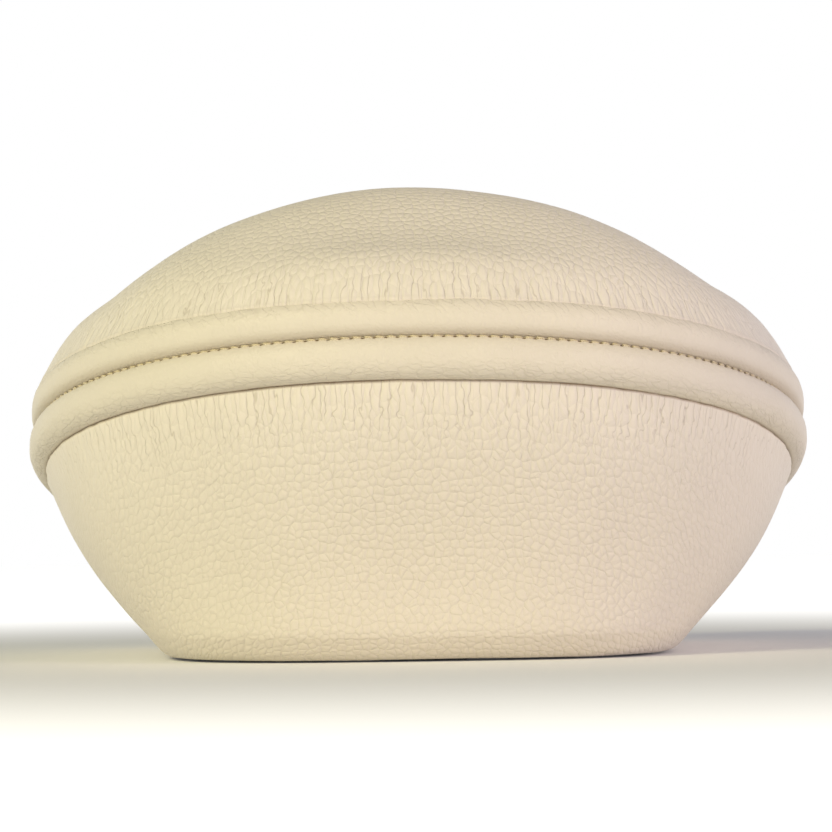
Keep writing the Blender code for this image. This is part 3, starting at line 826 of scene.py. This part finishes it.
def make_foams():
    """Two cut foam blocks under the leather: a soft one that crowns the top, and a firm one below."""
    every_other = slice(None, None, 2)
    rows = np.array(cover_rows())[len(COVER_TUCK) :: 2]
    normals = outward(rows)
    normals[-1] = (0, 0, 1)
    rows = rows - normals * FOAM_SUNK
    sole = [row(SPINE, seam_z(SPINE[:, 1]) + FOAM_PARTING)]
    edge = [seam_row(SEAM, -FOAM_INSET, height) for height in COMFORT_EDGE]
    grid = np.array(sole + edge + list(rows))[:, every_other]
    finish = open_cell_foam("soft_foam", "#e8d596", "#c9b06a", cell=0.0011)
    hand_over(wrap("comfort_foam_pad", grid), finish, "comfort_foam")

    rows = np.array(wall_rows())[::3]
    rows = rows - outward(rows) * FOAM_SUNK
    rows[:, :, 2] = np.maximum(rows[:, :, 2], BOARD_HIGH.z + BOARD_GAP)
    sole = [row(SPINE, BOARD_HIGH.z + BOARD_GAP)]
    edge = [seam_row(SEAM, -FOAM_INSET, height) for height in SUPPORT_EDGE]
    roof = [row(SPINE, seam_z(SPINE[:, 1]) - FOAM_PARTING)]
    grid = np.array(sole + list(rows) + edge + roof)[:, every_other]
    finish = open_cell_foam("firm_foam", "#8a8c90", "#5f6165", cell=0.0008)
    hand_over(wrap("support_foam_block", grid), finish, "support_foam")


def make_base_cover():
    """Loop pile glued over the flange, dented where the staples hold it."""
    edge_in = BOARD_HIGH.x + BOARD_INSET - PILE_HIGH.x
    edge = out_from(BASE, -edge_in)
    under = [BASE_SPINE + (edge - BASE_SPINE) * share for share in np.linspace(0, 1, PILE_ROWS)]
    grid = np.array([row(line, 0) for line in under])
    crowns = []
    for name in STAPLES:
        low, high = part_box(name)
        crowns.append(((low + high) / 2)[:2])
    away = np.min([np.hypot(*(grid[..., :2] - crown).transpose(2, 0, 1)) for crown in crowns], axis=0)
    grid[..., 2] += PILE_DENT * (1 - smooth(away, *PILE_DENT_REACH)) + uneven(grid, PILE_NAP)
    grid[..., 2] = np.clip(grid[..., 2], 0, PILE_HIGH.z - PILE_LEAST)
    side = row(out_from(BASE, -edge_in + PILE_EDGE_ROUND), PILE_HIGH.z / 2)
    top = [side, row(edge, PILE_HIGH.z), row(BASE_SPINE, PILE_HIGH.z)]
    grid = np.concatenate([grid, np.array(top)])
    grid[0, :, 2] = grid[0, :, 2].mean()  # level, so that both sides weld along the band's middle
    hand_over(wrap("base_cover_loop_pile", grid), loop_pile(), "loop_base_cover")


def make_carried_over():
    """The board and the staples keep their CAD shape."""
    for names, finish in ((["base_board"], birch_plywood()), (STAPLES, galvanised_steel())):
        for name in names:
            node = frame["nodes"][name]
            node.data.materials.clear()
            node.data.materials.append(finish)


# Studio


def make_floor():
    """A matt floor with painted glow: it glows more the further it is from the cushion, to a white
    background, and its dim glow close to the cushion is a painted shadow.
    """
    bpy.ops.object.select_all(action="DESELECT")
    bpy.ops.mesh.primitive_plane_add(size=FLOOR_SIZE, location=(0, 0, -FLOOR_GAP))
    floor = bpy.context.object
    bpy.ops.object.transform_apply(location=True)
    floor.name = "studio_floor"
    made, tree, shader = new_material("floor_glow_and_painted_shadow")
    spot = add(tree, "TexCoord", output="Object")
    # Painted light and shadow: the floor glows, least close to the cushion
    away = add(tree, "VectorMath", {0: spot}, "Value", operation="LENGTH")
    glow = add(tree, "MapRange", {0: away, 1: 0.19, 2: 0.80, 3: 0.03, 4: 0.70},
               interpolation_type="SMOOTHSTEP")
    set_inputs(tree, shader, {"Base Color": linear("#f6f6f5"), "Roughness": 1.0, "Specular IOR Level": 0.0})
    set_inputs(tree, shader, {"Emission Color": (1, 1, 1, 1), "Emission Strength": glow})
    floor.data.materials.append(made)


def softbox(name, place, size, power, colour):
    lamp = bpy.data.lights.new(name, "AREA")
    lamp.shape = "DISK"
    lamp.size = size
    lamp.energy = power
    lamp.color = linear(colour)[:3]
    made = bpy.data.objects.new(name, lamp)
    made.location = place
    made.rotation_euler = (Vector(SOFTBOX_AIM) - Vector(place)).to_track_quat("-Z", "Y").to_euler()
    bpy.context.scene.collection.objects.link(made)


def make_light():
    """Two softboxes in a room that is brightest low down and at the back, and dimmer overhead."""
    world = bpy.data.worlds.new("studio")
    world.use_nodes = True
    tree = world.node_tree
    way = add(tree, "TexCoord", output="Generated")
    up = add(tree, "SeparateXYZ", {0: way}, "Z")
    back = add(tree, "SeparateXYZ", {0: way}, "Y")
    level = add(tree, "MapRange", {0: up, 1: 0.16, 2: 0.60, 3: 1.0, 4: 0.27})
    room = add(tree, "MapRange", {0: back, 1: -0.5, 2: 0.3, 3: 0.62, 4: 1.0})
    level = add(tree, "Math", {0: level, 1: room}, operation="MULTIPLY")
    set_inputs(tree, tree.nodes["Background"], {"Strength": level, "Color": linear("#ffffff")})
    bpy.context.scene.world = world
    softbox("key", place=(-1.0, -1.50, 1.02), size=0.6, power=17.0, colour="#fff9c8")
    softbox("fill", place=(1.6, -1.2, 0.5), size=1.0, power=11.0, colour="#fae2ff")
    scene = bpy.context.scene
    scene.view_settings.view_transform = "Standard"
    scene.view_settings.look = "None"


def make_camera():
    data = bpy.data.cameras.new("camera")
    data.sensor_width = SENSOR_WIDTH
    data.lens = CAMERA_LENS
    camera = bpy.data.objects.new("camera", data)
    place = Vector(CAMERA_PLACE)
    turn = (Vector(CAMERA_AIM) - place).to_track_quat("-Z", "Y").to_matrix().to_4x4()
    camera.matrix_world = Matrix.Translation(place) @ turn @ Matrix.Rotation(CAMERA_ROLL, 4, "Z")
    bpy.context.scene.collection.objects.link(camera)
    bpy.context.scene.camera = camera


make_top_cover()
make_side_panel()
make_roll("upper_roll", UPPER_ROLL, UPPER_FOLDS, UPPER_PAINTED_SHADE)
make_roll("lower_roll", LOWER_ROLL, LOWER_FOLDS, LOWER_PAINTED_SHADE, stitched=True)
cord_foam = open_cell_foam("cord_foam", "#ecebe4", "#cfcdc4", cell=0.0006)
make_cord("upper_roll", UPPER_ROLL, cord_foam)
make_cord("lower_roll", LOWER_ROLL, cord_foam)
make_stitches()
make_seam_tape()
make_foams()
make_base_cover()
make_carried_over()
make_floor()
make_light()
make_camera()
